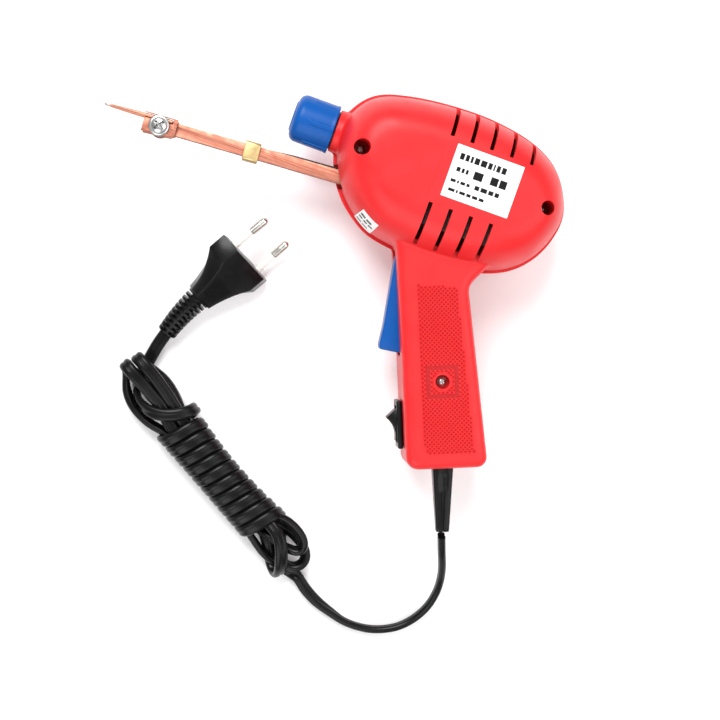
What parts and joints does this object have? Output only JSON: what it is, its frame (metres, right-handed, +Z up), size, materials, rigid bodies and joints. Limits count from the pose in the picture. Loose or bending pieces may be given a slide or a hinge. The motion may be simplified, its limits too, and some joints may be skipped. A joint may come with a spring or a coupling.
{
  "type": "soldering gun",
  "caption": "Pistol-type transformer soldering gun with a bent wire tip on two copper arms, a trigger, a lamp and a mains cord tied in a hank.",
  "frame": {"origin": "on the table, at the middle of the flat on the lower cover that the gun lies on", "axes": "+X along the barrel away from the tip, +Y from the grip up to the barrel, +Z up off the table, across the gun"},
  "size_m": [0.2183, 0.2432, 0.0602],
  "materials": {
    "red_plastic": "satin moulded ABS",
    "blue_plastic": "satin moulded plastic",
    "black_plastic": "satin black",
    "black_pvc": "soft black PVC",
    "copper": "bare copper, drawn and slightly scratched",
    "brass": "bare brass",
    "steel": "zinc-plated steel",
    "nickel": "nickel-plated",
    "core_steel": "laminated transformer steel",
    "winding": "enamelled copper wire",
    "nylon": "natural nylon",
    "fibre": "dark vulcanised fibre",
    "glass": "clear bulb glass",
    "label_paper": "white label stock",
    "sleeve": "pale insulating sleeve",
    "brown_wire": "brown wire insulation",
    "blue_wire": "blue wire insulation"
  },
  "bodies": {
    "housing": {"upper_cover": "red_plastic", "lower_cover": "red_plastic", "housing_screw_front": "steel", "housing_screw_rear": "steel", "housing_screw_handle": "steel", "rating_label": "label_paper", "seam_sticker": "label_paper", "lamp_bulb": "glass", "lamp_bulb_base": "brass", "lamp_socket": "black_plastic", "lamp_contact": "brass", "trigger_pivot_pin": "steel", "trigger_spring": "steel", "trigger_switch_case": "black_plastic", "power_switch_case": "black_plastic", "power_switch_terminal_1": "brass", "power_switch_terminal_2": "brass", "transformer_core": "core_steel", "coil_bobbin": "nylon", "primary_winding": "winding", "secondary_bar": "copper", "arm_insulator": "fibre", "arm_band": "brass", "tip_clamp_plate_upper": "copper", "tip_clamp_plate_lower": "copper", "tip_screw_upper": "steel", "tip_screw_lower": "steel", "soldering_tip": "copper", "strain_relief": "black_pvc", "cord_inner": "black_pvc", "cord_clamp": "black_plastic", "cord_clamp_screw_1": "steel", "cord_clamp_screw_2": "steel", "wire_cord_to_switch": "brown_wire", "wire_switch_to_trigger": "brown_wire", "wire_cord_to_coil": "blue_wire", "cord_lead": "black_pvc", "cord_hank": "black_pvc", "cord_tail": "black_pvc", "plug_body": "black_pvc", "plug_relief": "black_pvc", "plug_pin_1": "nickel", "plug_pin_2": "nickel", "plug_pin_sleeve_1": "sleeve", "plug_pin_sleeve_2": "sleeve"},
    "trigger_body": {"trigger": "blue_plastic"},
    "plunger_body": {"trigger_switch_plunger": "black_plastic"},
    "rocker_body": {"power_switch_rocker": "black_plastic"},
    "lamp_cap_body": {"lamp_cap": "blue_plastic"}
  },
  "joints": [
    {"name": "trigger_pivot", "type": "hinge", "parent": "housing", "child": "trigger_body", "pos_m": [-0.008, -0.0415, 0.03], "axis": [0, 0, 1], "range_deg": [0, 8], "stiffness_Nm_per_rad": 0.8, "springref_deg": -5.73, "deforming": ["trigger_spring"]},
    {"name": "trigger_switch_travel", "type": "slide", "parent": "housing", "child": "plunger_body", "axis": [0.927, 0.375, 0], "range_m": [0, 0.0033]},
    {"name": "power_rocker", "type": "hinge", "parent": "housing", "child": "rocker_body", "pos_m": [0.0168, -0.10992, 0.03], "axis": [0, 0, 1], "range_deg": [-38, 0]},
    {"name": "lamp_cap_turn", "type": "hinge", "parent": "housing", "child": "lamp_cap_body", "pos_m": [-0.066, 0.0034, 0.03], "axis": [1, 0, 0], "continuous": true}
  ],
  "couplings": [
    {"joint": "trigger_switch_travel", "follows": "trigger_pivot", "m_per_rad": 0.0229}
  ]
}
